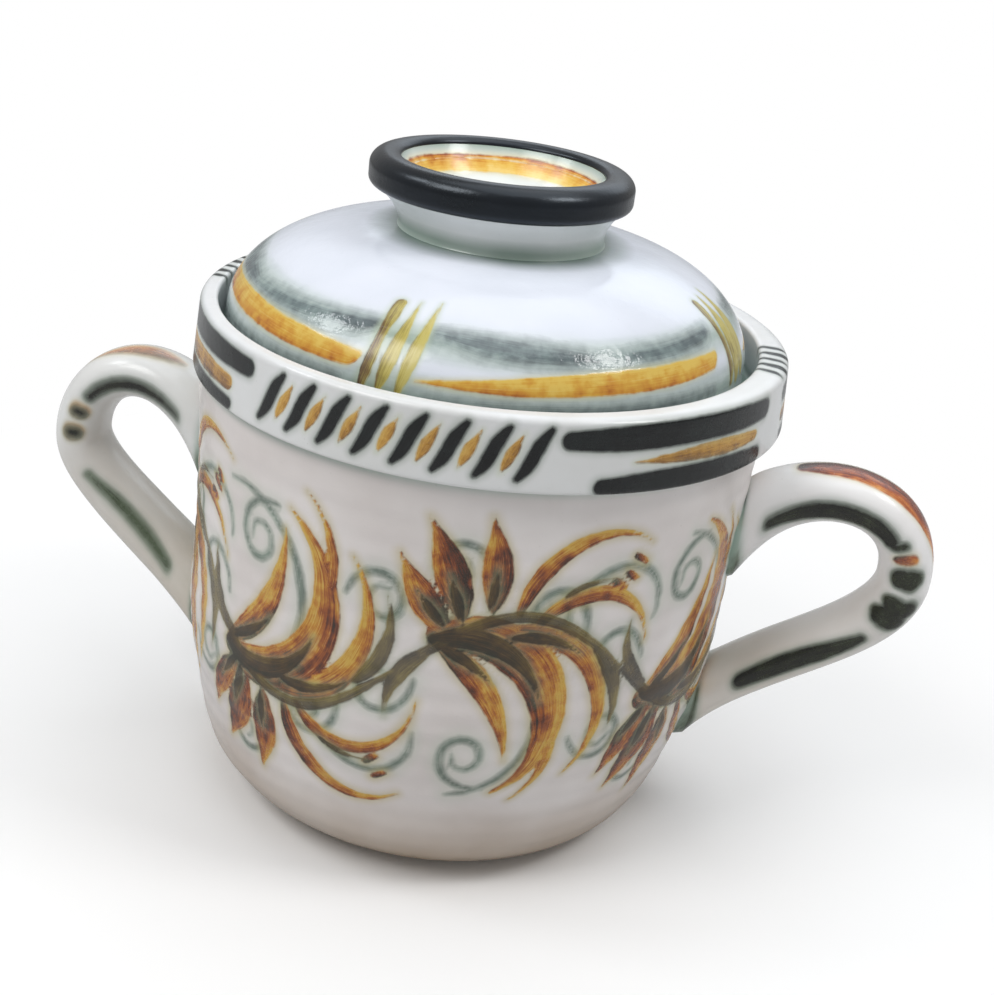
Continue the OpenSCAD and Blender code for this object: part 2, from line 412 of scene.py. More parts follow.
# Strokes of one swing: where each starts from its middle, its heading, length, bend and
# tightening, its half width and shape, and its tone
leaf_marks = [
    (-16, 6, -25, 31, -1.9, 0.0, 2.9, COMMA, 0.35),
    (-3, 10, 12, 47, -2.7, -0.6, 2.7, COMMA, 0.2),
    (-17, 8, 24, 56, -2.9, -0.4, 5.4, COMMA, 0.5),
    (3, 13, 52, 33, -3.4, -0.8, 1.8, COMMA, 0.3),
    (0, 14, 84, 38, -2.7, -0.8, 2.0, COMMA, 0.35),
    (-14, 9.5, 138, 19, -0.9, 0.0, 3.2, LEAF, 0.85),
    (-11, 11.5, 108, 21, 0.7, 0.0, 3.8, LEAF, 1.0),
    (-6, 13.5, 82, 20, 1.2, 0.0, 3.3, LEAF, 0.8),
    (6, -5, -50, 25, -2.8, -1.5, 1.6, COMMA, 0.25),
    (19, 19, -30, 3.2, 0.0, 0.0, 0.9, DASH, 1.0),
    (20.5, 21.5, -30, 3.2, 0.0, 0.0, 0.9, DASH, 1.0),
    (22, 24, -30, 3.2, 0.0, 0.0, 0.8, DASH, 1.0),
]
brown_marks = [
    (-18, 7.5, 22, 30, -2.9, -0.5, 2.6, COMMA, 0.95),
    (-16, 5.5, -20, 14, -1.9, 0.0, 1.3, COMMA, 0.8),
    (-2, 10, 10, 17, -2.7, 0.0, 1.3, COMMA, 0.7),
    (-12.5, 11, 108, 11, 0.7, 0.0, 1.3, LEAF, 0.9),
    (-15, 10, 138, 9, -0.9, 0.0, 1.1, LEAF, 0.9),
    (-6.5, 14, 82, 9, 1.2, 0.0, 1.1, LEAF, 0.8),
    (17, 5, -35, 21, -3.0, -1.0, 1.9, COMMA, 0.1),
    (-19, 5, 205, 18, 4.0, 0.0, 1.8, COMMA, 0.2),
    (8, 17.5, 35, 12, -3.4, 0.0, 0.8, COMMA, 0.4),
]
curl_marks = [
    (-14, 12, 10, 60, -3.0, 0.0, 1.1, LINE, 0.6),
    (13, 8, 75, 44, 4.0, 17.0, 0.95, LINE, 0.2),
    (14, -13, -75, 36, 4.5, 17.0, 0.9, LINE, 0.5),
    (-4, -24, 190, 36, -3.0, -18.0, 0.95, LINE, 0.3),
    (-7, 22, 100, 30, 4.0, 18.0, 0.8, LINE, 0.7),
    (-20, -2, 265, 26, -4.0, -14.0, 0.8, LINE, 0.4),
    (9, 16, 60, 30, -3.2, -4.0, 0.9, LINE, 0.4),
]
wash, leaves, brown = [], [], []
# The painter's hand is never quite steady: in place, heading, length and width
hand = np.random.default_rng(7)
off_mm, off_deg, least_long, most_long, least_wide, most_wide = 0.6, 2.5, 0.92, 1.06, 0.92, 1.08
for part in range(swings):
    middle = (part + 0.5) * 360 / swings
    up = 1 if part % 2 == 0 else -1
    for kept, marks in ((leaves, leaf_marks), (brown, brown_marks), (wash, curl_marks)):
        for x, y, heading, length, bend, tighten, half, shape, tone in marks:
            shift = hand.normal(0, off_mm, 2)
            path = sweep(x, y, heading + hand.normal(0, off_deg),
                         length * hand.uniform(least_long, most_long), bend, tighten)
            kept.append(([(middle + (a + shift[0]) / vine_r * radian,
                           vine_z + up * (b + shift[1]) * grow) for a, b in path],
                         half * hand.uniform(least_wide, most_wide), shape, tone))
    stem = [(middle + x / vine_r * radian,
             vine_z + up * swing_h * math.cos(x / half_swing * math.pi / 2)) for x in stem_x]
    brown.append((stem, 1.35, LINE, 0.3))

painted(jar, "wash", turn, paint_height, radius, wash)
painted(jar, "leaf", turn, paint_height, radius, leaves)
painted(jar, "dark", turn, paint_height, radius, brown)

# Glaze runs greenish into the corners under the collar and round the handles' two ends, and the
# mark is darker there as painted shade in those creases. The ends are listed each with the height
# of its middle and its own height
corner_h, end_half_w, end_reach, side_share = 3.0, 11.5, 0.22, 0.6
pooled_shade = np.clip(1 - (collar_z - paint_height) / corner_h, 0, 1) ** 1.5
for end_z, end_h in ((75.5, 23.0), (31.5, 20.0)):
    off = np.hypot(radius * np.cos(np.radians(turn)) / end_half_w, (paint_height - end_z) / end_h * 2)
    side = np.abs(np.sin(np.radians(turn))) > side_share
    pooled_shade = np.maximum(pooled_shade, np.clip(1 - (off - 1) / end_reach, 0, 1) ** 1.6 * side)
mark(jar, "pool_shade", pooled_shade)

# The foot is wiped bare, so that it doesn't stick to the kiln's shelf
wiped_h, wiped_past, wiped, glazed = 0.45, 2.5, -3.0, 7.0
bare = np.where((height < wiped_h) & (radius > foot_r - foot_w - wiped_past), wiped, glazed)
mark(jar, "foot", bare)
jar.data.attributes.new("foot_place", "FLOAT_VECTOR", "POINT")

foot_clay = {"name": "foot", "stops": ["#a97f5c", "#c7a07a"], "raised": -0.3, "dull": 0.6,
             "bleed": ("#cdb698", 1.0, 0.3)}
wash_paint = {"name": "wash", "stops": ["#34443a", "#52665a", "#7d8f82"], "soft": 1.3, "ragged": 0.7,
              "cover": 0.85, "raised": 0.0, "dull": 0.0, "bleed": ("#b3c1ae", 4.5, 0.4)}
leaf_paint = {"name": "leaf", "side": 0.3, "run": 0.55, "cover": 0.97, "dry": 0.4, "mottle": 0.8,
              "stops": ["#2a130b", "#652a10", "#9a4f18", "#bd8028", "#cda646"],
              "bleed": ("#bdae74", 2.6, 0.6)}
brown_paint = {"name": "dark", "stops": ["#1a110a", "#362611", "#57461d", "#7c6b2f"], "cover": 0.86,
               "base": 0.5, "run": 0.5, "side": 0.25, "bleed": ("#8b9372", 2.2, 0.5)}
black_paint = {"name": "dark", "stops": ["#040506", "#07090a", "#0c0f10", "#161c1c"], "soft": 0.7,
               "side": 0.0, "run": 0.0, "dry": 0.0, "cover": 1.0, "ragged": 0.35,
               "bleed": ("#7c8b7d", 1.9, 0.6)}
# Painted light: the jar's white is warmer and pinker than the lid's, as painted warm bounced light, and
# the low tint makes it darker and warmer towards the bottom, inside and out, as painted shade
jar.data.materials.append(glaze("jar_glaze", ["#e6e1df", "#d9d2cf"],
                                [wash_paint, leaf_paint, brown_paint, foot_clay], low=("#ab9477", 26.0)))
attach(jar, "pot")
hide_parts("jar")

# The collar is thrown with the jar: a thick band with a plain rim, and a ledge inside that
# carries the lid. It is painted with broad dashes of black and ochre, a border of slanted
# dashes with ochre leaves between them, and a few ticks over the rim by each handle.
mouth_r, rim_t, collar_taper, rim_z = 61.2, 3.8, 1.0, 117.0
ledge_z, ledge_w, rim_round, edge_round, ledge_round = 108.0, 6.7, 1.5, 0.8, 1.2
rim_r = mouth_r + rim_t
collar_r = rim_r + collar_taper
ledge_r = mouth_r - ledge_w
collar_profile = np.vstack([
    [(shoulder_r - wall_t, collar_z)],
    corner(collar_r - edge_round, collar_z + edge_round, edge_round, -90, 0),
    corner(rim_r - rim_round, rim_z - rim_round, rim_round, 0, 90),
    corner(mouth_r + edge_round, rim_z - edge_round, edge_round, 90, 180),
    corner(mouth_r - ledge_round, ledge_z + ledge_round, ledge_round, 0, -90),
    corner(ledge_r + edge_round, ledge_z - edge_round, edge_round, 90, 180),
])


rim_push, mouth_push = 1.3, 1.5


def pushed(spread):
    """The rim's place: pushed a little to one side, and thicker at both sides."""
    turn, _, r, z = spread.T
    side = np.sin(np.radians(turn))
    outer = np.clip((r - mouth_r) / rim_t, 0, 1)
    above = np.interp(z, [collar_z, ledge_z], [0, 1])
    return rim_push * side * outer - mouth_push * side ** 2 * (1 - outer) * above


collar, lies = turned("collar_glazed", collar_profile, 540, fine=0.6, wander=pushed)
turn, way, radius, height = lies.T
face_start = np.linalg.norm(collar_profile[0] - collar_profile[1]) + edge_round * 1.5
band = way - face_start
slants, slant_start, slant_step = 8, -29.0, 6.9
ticks, tick_start, tick_step, tick_half = 5, 81.5, 3.9, (0.85, 1.15, 0.8, 1.2, 0.9)
# Broad dashes: the turn where each starts and ends, its way up the band and its half width
broad_marks = [(-97, -35.5, 10.5, 2.5), (25.5, 70.5, 10.6, 2.65), (-97, -41, 1.0, 1.75),
               (31.5, 68, 1.4, 2.35)]
black, ochre = [], []
for half_turn in (0, 180):
    for start, end, z, half in broad_marks:
        middle = (start + end) / 2 + half_turn
        black.append(([(start + half_turn, z - 0.4), (middle, z + 0.3), (end + half_turn, z)],
                      half, DASH, 0.0))
    ochre.append(([(-97 + half_turn, 5.2), (-66 + half_turn, 5.6), (-41.5 + half_turn, 5.2)],
                  2.05, DASH, 0.7))
    ochre.append(([(37 + half_turn, 5.7), (52 + half_turn, 6.1), (67 + half_turn, 5.9)],
                  1.75, [0.05, 0.45, 0.75, 0.95, 1, 0.9, 0.6], 0.3))
    for k in range(slants):
        at = slant_start + slant_step * k + half_turn
        black.append(([(at - 2.2, 2.2), (at - 0.6, 4.8), (at + 1.0, 9.0), (at + 2.8, 12.2)],
                      1.4, [0.5, 0.8, 1, 1, 1, 0.8, 0.5], 0.15))
        if k < slants - 1:
            ochre.append(([(at + 1.9, 3.2), (at + 3.5, 7.2), (at + 5.3, 11.2)], 1.15, LEAF, 0.3))
    for k in range(ticks):
        at = tick_start + tick_step * k + half_turn
        black.append(([(at, 14.0 - k % 2), (at + 0.6, 16.5), (at + 0.4, 18.6 + k % 3 * 0.6)],
                      tick_half[k], COMMA, 0.0))
painted(collar, "leaf", turn, band, radius, ochre)
painted(collar, "dark", turn, band, radius, black)
# The glaze gathers greenish in the corner of the ledge inside the mouth, darkened there as painted shade
seam_h, hair = 2.0, 0.1
pooled_shade = np.clip(1 - (height - ledge_z) / seam_h, 0, 1)
pooled_shade = pooled_shade * (radius < mouth_r + 2 * hair) * (height > ledge_z - hair)
mark(collar, "pool_shade", pooled_shade)
dash_paint = dict(leaf_paint, stops=["#573011", "#8f6224", "#bd8c38", "#cfa650"], run=0.1,
                  bleed=("#b9c2a0", 1.6, 0.45))
collar.data.materials.append(glaze("collar_glaze", ["#e2e4e6", "#d9dad9"], [dash_paint, black_paint]))
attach(collar, "pot")
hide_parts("collar")

# Each handle is pulled from a strap of clay, bent while wet and smeared on to the wall at both
# ends, so the two differ a little in reach, thickness and bend. Each is painted with a rust
# stroke on top, dark strokes on its sides and bars or dots at the bend.
handle_w, root_w, heel_z, handle_r = 16.0, 23.0, 31.5, 7.4
bend_share, square, sunk, follow = 0.45, 2.3, 0.6, 18
right_form = dict(reach=106.4, thick=11.9, leg=11.2, root=(76.0, 21.5), heel=18.0, flare=7,
                  upper=[(0, 1), (0.17, 1.39), (1, 1.437), (1, 0.919)],
                  lower=[(1, 0.919), (1, 0.557), (0.20, 0.342), (0, 0)])
left_form = dict(reach=102.8, thick=11.6, leg=14.7, root=(75.0, 25.0), heel=20.0, flare=12,
                 upper=[(0, 1), (0.44, 1.54), (1, 1.25), (1, 0.89)],
                 lower=[(1, 0.89), (1, 0.69), (0.68, 0.50), (0, 0)])


def leg(shares, foot_z, bend, steps):
    """Middle line of one leg, shares of the way from the heel to the bend, and its angles."""
    line = curve((wall_at(foot_z), heel_z), bend, shares, steps)
    step = np.gradient(line, axis=0)
    return line, np.degrees(np.arctan2(step[:, 1], step[:, 0]))


def pulled(name, half_turn, form, legs=90, around=60):
    """A handle's mesh, with where each point lies: the angle round the section, 0 on its
    outer side, and the way along the handle."""
    t = np.linspace(0, 1, legs + 1)
    thick, leg_t, (root_z, root_h) = form["thick"], form["leg"], form["root"]
    up, up_way = leg(form["upper"], root_z, (form["reach"] - thick / 2, root_z), legs)
    down, down_way = leg(form["lower"], heel_z, (form["reach"] - thick / 2, root_z), legs)
    up_way = up_way * np.minimum(1, t / bend_share)
    down_way = np.where(down_way > 0, down_way - 360, down_way)
    down_way = down_way + (-180 - down_way) * np.maximum(0, 1 - (1 - t) / bend_share)
    rings = np.vstack([
        np.c_[up, up_way, thick + (root_h - thick) * (1 - t) ** form["flare"],
              handle_w + (root_w - handle_w) * (1 - t) ** 5],
        np.c_[down, down_way, thick + (leg_t - thick) * t + (form["heel"] - leg_t) * t ** 14,
              handle_w + (root_w - handle_w) * t ** 5][1:]])
    a = np.radians(np.arange(around) * 360.0 / around)
    out = np.sign(np.cos(a)) * np.abs(np.cos(a)) ** (2 / square) / 2
    wide = np.sign(np.sin(a)) * np.abs(np.sin(a)) ** (2 / square) / 2
    lean = np.radians(rings[:, 2])[:, None]
    x = rings[:, :1] - np.sin(lean) * out * rings[:, 3:4]
    y = wide * rings[:, 4:5] + 0 * lean
    z = rings[:, 1:2] + np.cos(lean) * out * rings[:, 3:4]
    for k in (0, -1):
        x[k] = np.sqrt(np.maximum(wall_at(z[k]) ** 2 - y[k] ** 2, 1)) - sunk
    way = np.concatenate([[0], np.cumsum(np.hypot(*np.diff(rings[:, :2], axis=0).T))])
    close = np.clip(1 - np.minimum(way, way[-1] - way) / follow, 0, 1)[:, None] ** 1.5
    x += close * leaning(z, -90 if half_turn else 90)
    points = np.stack([x, y, z], -1).reshape(-1, 3)
    count = len(rings)
    faces = []
    for i in range(count - 1):
        for k in range(around):
            n = (k + 1) % around
            faces.append((i * around + k, i * around + n, (i + 1) * around + n, (i + 1) * around + k))
    faces.append(tuple(range(around))[::-1])
    faces.append(tuple((count - 1) * around + k for k in range(around)))
    if half_turn:
        points = points * [-1, -1, 1]
    lies = np.stack([np.tile(np.degrees(a), count), np.repeat(way, around)], 1)
    return shaped(name, points, faces), lies, way[-1]


# Strokes lie by the angle round the strap and the way along it from the upper root. Those on
# its top and at the bend are on the side that faces front, and side strokes are on both.
end_pool_shade = 5.0
for name, half_turn, front, form in (("handle_right", False, -1, right_form),
                                     ("handle_left", True, 1, left_form)):
    handle, lies, length = pulled(name + "_glazed", half_turn, form)
    turn, way = lies.T
    girth = np.full(len(turn), handle_r)
    if half_turn:
        rust = [([(front * 4, 15), (front * 8, 21), (front * 12, 28), (front * 10, 34)], 2.2, LEAF, 0.45),
                ([(front * 107, 41.3), (front * 90, 41.7)], 2.1, DASH, 0.0),
                ([(front * 107, 47.4), (front * 90, 47.8)], 2.2, DASH, 0.0)]
        deep = [([(front * 106, 41.7), (front * 90, 42.1)], 1.3, DASH, 1.0),
                ([(front * 106, 47.6), (front * 89, 48.0)], 1.5, DASH, 1.0)]
        side_marks = [([(97, 10.5), (98, 15), (99, 20), (99, 28), (97, 36.5)], 1.7, 0.9),
                      ([(100, 60), (112, 70), (112, 81), (104, 90)], 1.6, -0.3)]
    else:
        rust = [([(front * 2, 18.5), (front * 8, 27), (front * 13, 36), (front * 8, 48)], 3.0,
                 [0.6, 0.95, 1, 1, 1, 0.85, 0.4], 0.7),
                ([(front * 107, 45.6), (front * 92, 46.0), (front * 76, 46.2)], 1.3, DASH, 0.55)]
        deep = [([(front * 108, 42.0), (front * 98, 42.5), (front * 84, 42.9)], 1.1, DASH, 0.1),
                ([(front * 110, 50.2), (front * 90, 51.0), (front * 68, 50.4)], 2.7,
                 [0.6, 1, 0.85, 1, 0.8, 0.6], 0.2),
                ([(front * 112, 57.4), (front * 88, 58.0), (front * 58, 57.2)], 2.4,
                 [0.7, 1, 1, 0.8, 0.95, 0.6], 0.1),
                ([(front * 118, 61.8), (front * 96, 61.6), (front * 62, 60.9)], 2.6,
                 [0.6, 1, 1, 0.9, 0.6], 0.2)]
        side_marks = [([(98, 9.5), (101, 15), (103, 22), (105, 31), (104, 40.5)], 2.5, 0.5),
                      ([(84, 69), (89, 76), (96, 85), (98, 98)], 2.6, 0.3)]
    for side in (1, -1):
        for points, half, tone in side_marks:
            deep.append(([(side * a, at) for a, at in points], half,
                         [0.5, 0.75, 0.95, 1, 1, 0.95, 0.8], tone))
        # A dark line along each end's joint with the wall is painted shade in the crease
        deep.append(([(side * 128, length - 1.8), (side * 95, length - 1.6), (side * 40, length - 1.0)],
                     1.0, [0.3, 0.7, 1, 0.8], -0.4))
        deep.append(([(side * 165, 1.6), (side * 135, 1.2), (side * 100, 1.0)],
                     0.8, [0.5, 1, 0.8, 0.2], -0.4))
    painted(handle, "leaf", turn, way, girth, rust)
    painted(handle, "dark", turn, way, girth, deep)
    # The glaze gathers greenish at both ends against the wall, darkened there as painted shade in the
    # creases
    pool_shade = np.clip(1 - np.minimum(way, length - way) / end_pool_shade, 0, 1) ** 1.6
    mark(handle, "pool_shade", pool_shade)
    # Painted light: the right handle's white is lighter and the left's darker, though both wear one
    # glaze, and the low tint darkens both warmly towards the bottom as painted shade on their undersides
    whites = ["#e6e8e7", "#dcdbd9"] if half_turn else ["#f6f6f6", "#ebe9e8"]
    handle.data.materials.append(glaze(name + "_glaze", whites, [
        dict(leaf_paint, stops=["#35130c", "#6b2412", "#a8501c", "#cf8638"], soft=0.7 + half_turn,
             cover=0.95 - 0.3 * half_turn, bleed=("#cbbf96", 2.4, 0.6)),
        dict(black_paint, soft=1.4 + 0.8 * half_turn, ragged=0.5, base=0.4 + 0.2 * half_turn,
             stops=["#0c0d07", "#18190f", "#2a2f1d", "#56624e"], bleed=("#7f927f", 2.8, 0.7))],
        pool_shade_hue="#93a99d", low=("#c3b49c", 75.0)))
    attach(handle, "pot")
    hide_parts(name)

# The lid is thrown as a shallow dome, and sits inside the rim on the ledge. Its shoulder has
# a soft grey-green band under four ochre brush strokes, parted by groups of upright strokes.
lid_gap, lid_h, brim_h, lid_t, brim_round, seat_gap = 3.0, 26.7, 6.5, 4.8, 1.2, 0.3
knob_foot_r = 22.8
lid_r = mouth_r - lid_gap
seat_z = ledge_z + seat_gap
brim_z = seat_z + brim_h
dome_z = seat_z + lid_h
dome_shares = [(0, 0), (0.014, 0.475), (0.358, 0.965), (1, 1)]
dome = curve((lid_r, brim_z), (knob_foot_r, dome_z), dome_shares, 60)
lid_profile = np.vstack([
    [(0, dome_z - lid_t)],
    beside(dome, lid_t)[::-1],
    [(lid_r - lid_t, seat_z)],
    corner(lid_r - brim_round, seat_z + brim_round, brim_round, -90, 0),
    dome,
    [(0, dome_z)],
])
under_knob_r, dome_skin, flat_by, flat_r = 20, 1, 1.4, [35, 56]


def on_dome(r, z):
    """Whether a point lies on the lid's outside, clear of the knob."""
    return z > np.interp(-r, -dome[:, 0], dome[:, 1]) - dome_skin and r > under_knob_r


def flattened(spread):
    """The lid's right flank, which is a little flatter than its left."""
    turn, _, r, _ = spread.T
    return -flat_by * np.clip(np.sin(np.radians(turn)), 0, 1) * np.interp(r, flat_r, [0, 1])


lid, lies = turned("lid_glazed", lid_profile, 480, fine=0.6, fine_from=on_dome, wander=flattened)
turn, way, radius, height = lies.T
start_way = way[(np.abs(radius - lid_r) < 1e-6) & (height >= seat_z + brim_round - 1e-6)].min()
up = way - start_way


def climb(z):
    """The way up the lid's outside at a height."""
    line = np.vstack([[(lid_r, seat_z + brim_round)], dome])
    gone = np.concatenate([[0], np.cumsum(np.linalg.norm(np.diff(line, axis=0), axis=1))])
    return float(np.interp(z, line[:, 1], gone))


# Strokes lie by the turn from the front and by their height on the dome
ochre, uprights, shade, dusk = [], [], [], []
for start, end, low, high in ((-96, -17, 121.2, 119.8), (-3, 67, 118.4, 121.2),
                              (88, 160, 118.6, 121.0), (182, 248, 118.6, 120.8)):
    middle = (start + end) / 2
    ochre.append(([(start, climb(low)), (middle, climb((low + high) / 2 + 0.5)), (end, climb(high))],
                  2.3, [0.08, 0.5, 0.85, 1, 1, 0.95, 0.75], 0.25))
    dusk.append(([(middle - 20, climb(124.0)), ((middle + end) / 2, climb(124.6)),
                  (end + 1, climb(125.6))], 2.2, [0.1, 0.45, 0.7, 0.95, 1, 1], 0.3))
    dusk.append(([(start + 2, climb(126.4)), (start + 20, climb(125.2)), (middle + 6, climb(123.9))],
                 2.7, [0.5, 1, 1, 0.8, 0.3], 0.5))
    # A thin dark line low on the lid, where it sinks under the rim, is painted shade
    dusk.append(([(start + 2, climb(115.4)), (middle, climb(115.2)), (end - 2, climb(115.5))],
                 0.9, [0.3, 1, 1, 0.6], 0.6))
for at, wide in ((-13, 1.0), (75, 1.6), (166, 1.1), (254, 1.3)):
    uprights.append(([(at + 1, climb(129.4)), (at + 0.4, climb(122)), (at - 0.6, climb(115.2))],
                     1.3, [0.9, 1, 0.8, 0.75, 0.85, 0.9, 0.6], 0.45))
    uprights.append(([(at + 5.8, climb(130.0)), (at + 4.5, climb(123)), (at + 3.0, climb(115.4))],
                     1.5 * wide, COMMA[::-1], -0.25))
    uprights.append(([(at + 10.7, climb(130.4)), (at + 9, climb(124)), (at + 7.0, climb(115.8))],
                     1.4 * wide, COMMA[::-1], -0.35))
# Two grey-green bands go all round: a wash under the ochre strokes, and a lower one at the rim's height,
# which is painted shade where the lid sinks into the mouth
for start in range(0, 360, 60):
    shade.append(([(start, climb(125.0)), (start + 30, climb(124.6)), (start + 62, climb(125.0))],
                  2.4, [1, 1, 1, 1], 0.1))
    shade.append(([(start, climb(115.4)), (start + 30, climb(115.2)), (start + 62, climb(115.4))],
                  2.8, [1, 1, 1, 1], 0.6))
painted(lid, "wash", turn, up, radius, shade)
painted(lid, "dusk", turn, up, radius, dusk)
painted(lid, "leaf", turn, up, radius, ochre)
painted(lid, "dark", turn, up, radius, uprights)
# The glaze gathers greenish round the knob's foot, darkened there as painted shade under the knob
round_knob, below_knob = 7.0, 4
pooled_shade = np.clip(1 - (radius - knob_foot_r) / round_knob, 0, 1) ** 1.1 * (height > dome_z - below_knob)
mark(lid, "pool_shade", pooled_shade)
band_paint = dict(wash_paint, soft=4.6, ragged=1.0, cover=0.8, bleed=("#c3cfc9", 4.5, 0.4),
                  hairs=1.7, streaks=0.9, mottle=0.8, dull=-0.04, side=0.0, run=-0.3, dry=0.0,
                  stops=["#72857d", "#8fa29a", "#a9b8b0"])
# The lid's white is bluer than the jar's, as painted cool light from above on the same glaze
lid.data.materials.append(glaze("lid_glaze", ["#e0e4ee", "#d6dbe5"], [
    band_paint,
    dict(band_paint, name="dusk", soft=3.4, ragged=1.4, cover=0.85, dry=0.15, base=0.55,
         stops=["#2c343c", "#4a555b", "#6b7b7c", "#8b9b96"]),
    dict(leaf_paint, stops=["#7a3a14", "#b0661c", "#c98a2a", "#d3a23a", "#dcb955"], run=0.1, base=0.62,
         hairs=2.4, streaks=0.8, mottle=1.1, bleed=("#c9c48e", 1.5, 0.6)),
    dict(brown_paint, stops=["#4a2a0e", "#74541c", "#91802f", "#b3a144", "#c2b35c"],
         cover=0.9, run=-0.2, base=0.5, hairs=2.4, bleed=("#a9b68c", 1.8, 0.5))],
    rough=0.11, pool_shade_hue="#6b7c74", lustre="dusk"))
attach(lid, "lid")
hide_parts("lid")

# The knob is a small thrown cup, set on the lid before the first firing. Outside it is white,
# greenish where the glaze is thick and darker there as painted shade, and an ochre ring is turned
# with the brush inside it.
knob_r, opening_r, flare_h, lip_h = 28.7, 22.0, 8.3, 7.2
cup_floor_t, cup_wall_t, flange_t = 2.5, 2.3, 1.4
lip_low_round, lip_bore_round = 1.6, 1.1
lip_z = dome_z + flare_h
knob_z = lip_z + lip_h
socket_r = opening_r + cup_wall_t - lip_bore_round
bowl = curve((0, dome_z + cup_floor_t), (opening_r, knob_z - flange_t),
             [(0, 0), (0.75, 0), (0.8, 0.42), (1, 1)])
cup_profile = np.vstack([
    [(0, dome_z)],
    curve((knob_foot_r, dome_z), (knob_r - lip_low_round, lip_z),
          [(0, 0), (-0.28, 0.2), (0.3, 0.75), (1, 1)]),
    [(socket_r, lip_z), (socket_r, knob_z - flange_t)],
    bowl[::-1],
])


askew, bowl_way, neck_way, neck_r = 1.1, 29, 60, 20


def set_askew(spread):
    """The knob leans a little to one side of the lid's middle."""
    turn, _, _, z = spread.T
    return -askew * np.sin(np.radians(turn)) * np.interp(z, [dome_z + 1, lip_z], [0, 1])


cup, lies = turned("knob_cup_glazed", cup_profile, 300, coarse=2.0, fine=0.45, wander=set_askew)
turn, way, radius, height = lies.T
in_bowl = way > way.max() - bowl_way
drop = np.where(in_bowl, (knob_z - flange_t) - height, -30.0)
rings, lines = [], []
for a in range(0, 360, 90):
    rings.append(([(a, 3.9), (a + 45, 4.0), (a + 92, 3.9)], 1.3, [1, 1, 1, 1], 0.15))
    lines.append(([(a, 2.1), (a + 45, 2.3), (a + 92, 2.1)], 0.5, [1, 0.6, 1, 1], 0.9))
painted(cup, "leaf", turn, drop, radius, rings + lines)

# The glaze gathers round the knob's foot and under its lip, and a little all over the bowl. This
# green-grey is also painted shade: at the foot under the lip, below the lip's edge inside, and over
# the hollow of the bowl
pool_shade_z, pool_shade_h, edge_h, floor_share, pool_shade_strength = 1.2, 2.8, 2.6, 0.22, 0.9
pooled_shade = np.clip(1 - (height - dome_z - pool_shade_z) / pool_shade_h, 0, 1)
pooled_shade = pooled_shade * (radius > neck_r) * (height < lip_z + 0.5) * (way < neck_way) * pool_shade_strength
pooled_shade = np.maximum(pooled_shade, in_bowl * np.clip(1 - drop / edge_h, floor_share, 1) * pool_shade_strength)
mark(cup, "pool_shade", pooled_shade)
# Painted light: the knob's white is lighter than the lid's, to light its neck in the lip's shade, though
# both wear one glaze
cup.data.materials.append(glaze("knob_glaze", ["#f4f6f6", "#ebefed"], [
    dict(leaf_paint, stops=["#8a3c14", "#c0701f", "#dd9f36", "#e9bd55", "#f0cf78"], side=0.3, run=0.0,
         hairs=1.6, streaks=0.8, bleed=("#dccf9a", 1.4, 0.6), base=0.6)], rough=0.12, pool_shade_hue="#9bada3"))
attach(cup, "lid")
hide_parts("knob_cup")

# The lip is the cup's rim, rolled outward into a thick ring. It is brushed with blue-black
# slip that covers the white glaze, and takes a soft sheen with the brush's marks in it.
top_round, top_drop, mouth_round, mouth_drop = 3.9, 3.2, 2.3, 1.3
lip_profile = np.vstack([
    [(socket_r, lip_z)],
    corner(knob_r - lip_low_round, lip_z + lip_low_round, lip_low_round, -90, 0, 10),
    corner(knob_r - top_round, knob_z - top_drop, (top_round, top_drop), 0, 90, 16),
    corner(opening_r + mouth_round, knob_z - mouth_drop, (mouth_round, mouth_drop), 90, 180, 10),
    [(opening_r, knob_z - flange_t), (socket_r, knob_z - flange_t)],
])
lip, lies = turned("knob_lip_glazed", lip_profile, 320, fine=0.5, wander=set_askew)
slip = bpy.data.materials.new("black_slip")
slip.use_nodes = True
tree = slip.node_tree
skin = tree.nodes["Principled BSDF"]
flat = Shade(tree)
where = flat.node("ShaderNodeTexCoord", {}, {}, "Object")
brush = flat.noise(flat.node("ShaderNodeVectorMath", {"operation": "MULTIPLY"},
                             {0: where, 1: (1.0, 1.0, 2.0)}), 70.0, 2.0)
grain = flat.noise(where, 1400.0, 2.0)
colour = ((brush - 0.35) * 1.6).held().colours(tint("#06080c"), tint("#10151e"))
shine = 0.20 + brush * 0.14 + grain * 0.05
bump = flat.node("ShaderNodeBump", {},
                 {"Strength": 0.5, "Distance": 0.0006, "Height": brush * 0.6 + grain * 0.1})
tree.links.new(colour.socket, skin.inputs["Base Color"])
tree.links.new(shine.socket, skin.inputs["Roughness"])
tree.links.new(bump.socket, skin.inputs["Normal"])
skin.inputs["Specular Tint"].default_value = (0.80, 0.90, 1.0, 1)
lip.data.materials.append(slip)
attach(lip, "lid")
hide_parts("knob_lip")

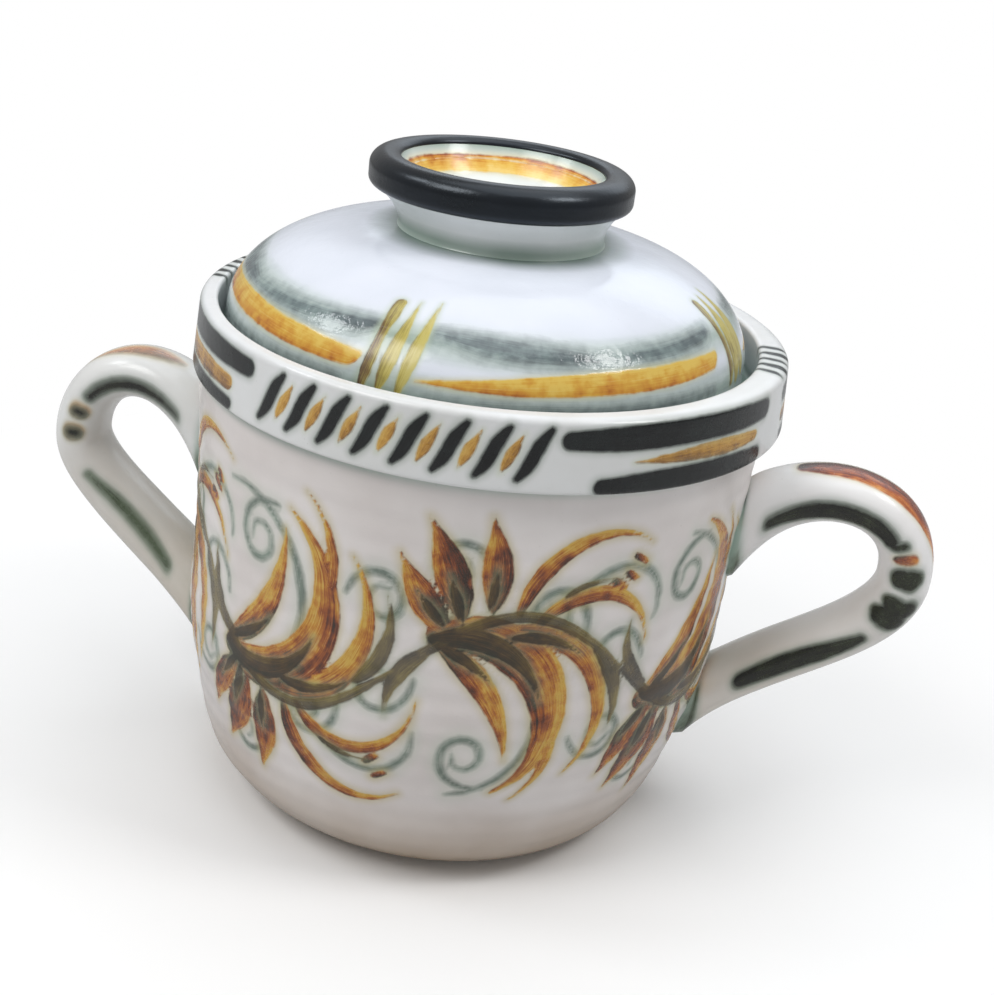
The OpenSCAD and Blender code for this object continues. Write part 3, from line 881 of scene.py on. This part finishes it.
# The pot stands on a plain pale floor, in metres from here on. The floor turns to plain white
# away from the pot, for the camera alone, and keeps the pot's shadow near it.
side, shadow_r, fade = 6, 0.08, 0.16
floor_mesh = bpy.data.meshes.new("floor")
floor_mesh.from_pydata([(-side, -side, 0), (side, -side, 0), (side, side, 0), (-side, side, 0)], [],
                       [(0, 1, 2, 3)])
floor = bpy.data.objects.new("floor", floor_mesh)
bpy.context.scene.collection.objects.link(floor)
board = bpy.data.materials.new("pale_board")
board.use_nodes = True
tree = board.node_tree
skin = tree.nodes["Principled BSDF"]
flat = Shade(tree)
where = flat.node("ShaderNodeTexCoord", {}, {}, "Object")
skin.inputs["Roughness"].default_value = 0.8
away = flat.node("ShaderNodeVectorMath", {"operation": "LENGTH"}, {0: where}, "Value")
seen = flat.node("ShaderNodeLightPath", {}, {}, "Is Camera Ray")
share = ((away - shadow_r) / fade).held() * seen
shown = seen.colours((0.60, 0.60, 0.60, 1), (0.93, 0.93, 0.93, 1))
tree.links.new(shown.socket, skin.inputs["Base Color"])
glow = flat.node("ShaderNodeEmission", {}, {"Color": (1, 1, 1, 1), "Strength": 1.0})
both = flat.node("ShaderNodeMixShader", {}, {0: share, 1: Shade(tree, skin.outputs[0]), 2: glow})
tree.links.new(both.socket, tree.nodes["Material Output"].inputs["Surface"])
floor_mesh.materials.append(board)

# The room is white to the camera and gives an even fill. Five soft lamps light the pot: a key
# from the front left, one overhead, a cool one behind, a window on the left and one on the
# right, each with its place, what it faces, its size, its power and its colour.
fill, shown_more = 0.4, 0.6
world = bpy.data.worlds.new("studio")
bpy.context.scene.world = world
world.use_nodes = True
tree = world.node_tree
flat = Shade(tree)
path = flat.node("ShaderNodeLightPath", {}, {}, "Is Camera Ray")
strength = path * shown_more + fill
tree.nodes["Background"].inputs["Color"].default_value = (1, 1, 1, 1)
tree.links.new(strength.socket, tree.nodes["Background"].inputs["Strength"])

for name, place, aim, size, power, hue in (
        ("key", (-0.40, -0.46, 0.74), (0, 0, 0.07), (0.38, 0.38), 2.7, (1.0, 0.99, 0.98)),
        ("top", (0.10, 0.10, 1.00), (0, 0, 0.10), (0.9, 0.9), 3.4, (0.93, 0.965, 1.0)),
        ("rear", (0.12, 1.08, 0.74), (0, 0, 0.13), (1.2, 0.5), 2.2, (0.82, 0.91, 1.0)),
        ("window", (-0.72, -0.14, 0.80), (0, 0, 0.10), (0.26, 0.24), 1.4, (0.96, 0.98, 1.0)),
        ("side", (0.66, -0.06, 0.88), (0, 0, 0.08), (0.28, 0.28), 2.7, (1.0, 0.99, 0.98))):
    lamp = bpy.data.lights.new(name, "AREA")
    lamp.shape = "RECTANGLE"
    lamp.size, lamp.size_y = size
    lamp.energy = power
    lamp.color = hue
    holder = bpy.data.objects.new(name, lamp)
    holder.location = place
    holder.visible_camera = False
    back = np.array(place) - np.array(aim)
    holder.rotation_euler = (math.atan2(math.hypot(back[0], back[1]), back[2]), 0,
                             math.atan2(back[1], back[0]) + math.pi / 2)
    bpy.context.scene.collection.objects.link(holder)

# The camera stands close, above the rim and a little to the right, and is tilted as in the
# picture. Its lens is given as focal length over frame, both in pixels.
focal_px, frame_px = 1500, 995
eye, tilt = (0.055999, -0.317587, 0.213239), (66.2059, -6.5697, 11.7689)
lens = bpy.data.cameras.new("camera")
lens.sensor_width = 36.0
lens.lens = focal_px * lens.sensor_width / frame_px
camera = bpy.data.objects.new("camera", lens)
camera.location = eye
camera.rotation_euler = [math.radians(a) for a in tilt]
bpy.context.scene.collection.objects.link(camera)
bpy.context.scene.camera = camera
bpy.context.scene.view_settings.view_transform = "Standard"
